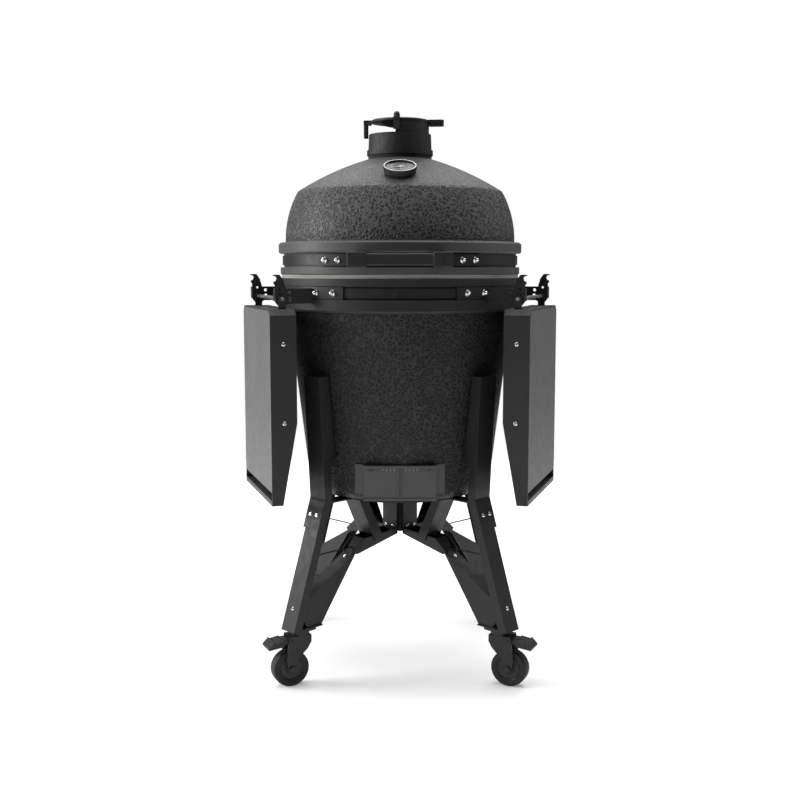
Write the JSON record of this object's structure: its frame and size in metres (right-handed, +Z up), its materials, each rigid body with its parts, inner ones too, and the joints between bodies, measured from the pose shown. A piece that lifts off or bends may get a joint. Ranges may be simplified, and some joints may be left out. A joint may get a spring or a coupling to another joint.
{
  "type": "kamado ceramic grill",
  "caption": "Charcoal-black kamado ceramic grill with hinged domed lid, top and draft vents, folding side tables and a splayed steel stand on casters.",
  "frame": {"origin": "floor level on the axis of the ceramic pot", "axes": "+Z up along the ceramic axis, front with handle and draft vent towards -Y, +X to the viewer's right"},
  "size_m": [0.734, 0.646, 1.2478],
  "materials": {
    "lid_glaze": "satin charcoal glaze with a raised crackle texture",
    "base_glaze": "satin black glaze with a raised crackle texture",
    "fire_clay": "matt unglazed fire clay",
    "felt": "pressed heat-proof felt",
    "cast_iron": "fine cast black",
    "stainless": "ground stainless bars",
    "band_steel": "satin black powder coat",
    "stand_steel": "matt black powder coat",
    "chrome": "bright chrome plate",
    "handle": "moulded satin black",
    "vent_iron": "satin black cast iron",
    "thermo_case": "satin black with a bright rim",
    "dial": "printed dial face",
    "needle": "pale pointer",
    "lens": "clear glass",
    "draft_steel": "dark grey powder coat",
    "table_frame": "matt black powder coat",
    "table_panel": "grey powder coat",
    "tyre": "black rubber",
    "pedal": "moulded black"
  },
  "bodies": {
    "stand": {"base_ceramic": "base_glaze", "base_gasket": "felt", "fire_bowl": "fire_clay", "fire_ring": "fire_clay", "charcoal_grate": "cast_iron", "cooking_grid": "stainless", "base_band": "band_steel", "base_band_nuts": "chrome", "hinge_base_bracket": "band_steel", "hinge_pin": "chrome", "hinge_springs": "stainless", "draft_frame": "draft_steel", "draft_screen": "stainless", "table_bracket_left": "band_steel", "table_bracket_right": "band_steel", "posts": "stand_steel", "legs": "stand_steel", "struts": "stand_steel", "arms": "stand_steel", "hub_core": "stand_steel", "plate_struts": "stand_steel", "support_plate": "stand_steel", "tie_rods": "stainless", "stand_bolts": "chrome", "caster_plates": "band_steel"},
    "lid": {"lid_ceramic": "lid_glaze", "lid_gasket": "felt", "lid_band": "band_steel", "lid_band_nuts": "chrome", "hinge_lid_bracket": "band_steel", "handle_bar": "handle", "handle_brackets": "band_steel", "chimney_gasket": "felt", "chimney_collar": "vent_iron", "thermometer_case": "thermo_case", "thermometer_dial": "dial", "thermometer_lens": "lens"},
    "top_vent": {"vent_cap": "vent_iron", "vent_shutter": "vent_iron"},
    "needle": {"thermometer_needle": "needle"},
    "draft_door_left_body": {"draft_door_left": "draft_steel"},
    "draft_door_right_body": {"draft_door_right": "draft_steel"},
    "table_left": {"table_frame_left": "table_frame", "table_panel_left": "table_panel", "table_bolts_left": "chrome", "table_rod_left": "stainless"},
    "table_right": {"table_frame_right": "table_frame", "table_panel_right": "table_panel", "table_bolts_right": "chrome", "table_rod_right": "stainless"},
    "caster_front_left": {"caster_fork_front_left": "band_steel"},
    "wheel_front_left": {"caster_wheel_front_left": "tyre"},
    "pedal_front_left": {"brake_pedal_front_left": "pedal"},
    "caster_front_right": {"caster_fork_front_right": "band_steel"},
    "wheel_front_right": {"caster_wheel_front_right": "tyre"},
    "pedal_front_right": {"brake_pedal_front_right": "pedal"},
    "caster_rear_right": {"caster_fork_rear_right": "band_steel"},
    "wheel_rear_right": {"caster_wheel_rear_right": "tyre"},
    "caster_rear_left": {"caster_fork_rear_left": "band_steel"},
    "wheel_rear_left": {"caster_wheel_rear_left": "tyre"}
  },
  "joints": [
    {"name": "lid_hinge", "type": "hinge", "parent": "stand", "child": "lid", "pos_m": [0, 0.299, 0.8864], "axis": [-1, 0, 0], "range_deg": [0, 75], "stiffness_Nm_per_rad": 45, "springref_deg": 75},
    {"name": "top_vent_turn", "type": "hinge", "parent": "lid", "child": "top_vent", "pos_m": [0, 0, 1.2298], "axis": [0, 0, 1], "range_deg": [0, 170]},
    {"name": "needle_turn", "type": "hinge", "parent": "lid", "child": "needle", "pos_m": [0, -0.177, 1.10641], "axis": [0, -0.4226, 0.9063], "range_deg": [-270, 0]},
    {"name": "draft_left_slide", "type": "slide", "parent": "stand", "child": "draft_door_left_body", "axis": [-1, 0, 0], "range_m": [0, 0.055]},
    {"name": "draft_right_slide", "type": "slide", "parent": "stand", "child": "draft_door_right_body", "axis": [1, 0, 0], "range_m": [0, 0.055]},
    {"name": "table_left_fold", "type": "hinge", "parent": "stand", "child": "table_left", "pos_m": [-0.29007, -0.09425, 0.84], "axis": [-0.309, 0.9511, 0], "range_deg": [0, 90]},
    {"name": "table_right_fold", "type": "hinge", "parent": "stand", "child": "table_right", "pos_m": [0.29007, -0.09425, 0.84], "axis": [-0.309, -0.9511, 0], "range_deg": [0, 90]},
    {"name": "swivel_front_left", "type": "hinge", "parent": "stand", "child": "caster_front_left", "pos_m": [-0.21899, -0.21899, 0.11], "axis": [0, 0, 1], "continuous": true},
    {"name": "wheel_spin_front_left", "type": "hinge", "parent": "caster_front_left", "child": "wheel_front_left", "pos_m": [-0.24074, -0.22913, 0.04], "axis": [0.4226, -0.9063, 0], "continuous": true},
    {"name": "brake_pedal_front_left_tilt", "type": "hinge", "parent": "caster_front_left", "child": "pedal_front_left", "pos_m": [-0.24074, -0.22913, 0.103], "axis": [0.4226, -0.9063, 0], "range_deg": [0, 10]},
    {"name": "swivel_front_right", "type": "hinge", "parent": "stand", "child": "caster_front_right", "pos_m": [0.21899, -0.21899, 0.11], "axis": [0, 0, 1], "continuous": true},
    {"name": "wheel_spin_front_right", "type": "hinge", "parent": "caster_front_right", "child": "wheel_front_right", "pos_m": [0.24074, -0.22913, 0.04], "axis": [0.4226, 0.9063, 0], "continuous": true},
    {"name": "brake_pedal_front_right_tilt", "type": "hinge", "parent": "caster_front_right", "child": "pedal_front_right", "pos_m": [0.24074, -0.22913, 0.103], "axis": [0.4226, 0.9063, 0], "range_deg": [0, 10]},
    {"name": "swivel_rear_right", "type": "hinge", "parent": "stand", "child": "caster_rear_right", "pos_m": [0.21899, 0.21899, 0.11], "axis": [0, 0, 1], "continuous": true},
    {"name": "wheel_spin_rear_right", "type": "hinge", "parent": "caster_rear_right", "child": "wheel_rear_right", "pos_m": [0.24074, 0.22913, 0.04], "axis": [-0.4226, 0.9063, 0], "continuous": true},
    {"name": "swivel_rear_left", "type": "hinge", "parent": "stand", "child": "caster_rear_left", "pos_m": [-0.21899, 0.21899, 0.11], "axis": [0, 0, 1], "continuous": true},
    {"name": "wheel_spin_rear_left", "type": "hinge", "parent": "caster_rear_left", "child": "wheel_rear_left", "pos_m": [-0.24074, 0.22913, 0.04], "axis": [-0.4226, -0.9063, 0], "continuous": true}
  ]
}
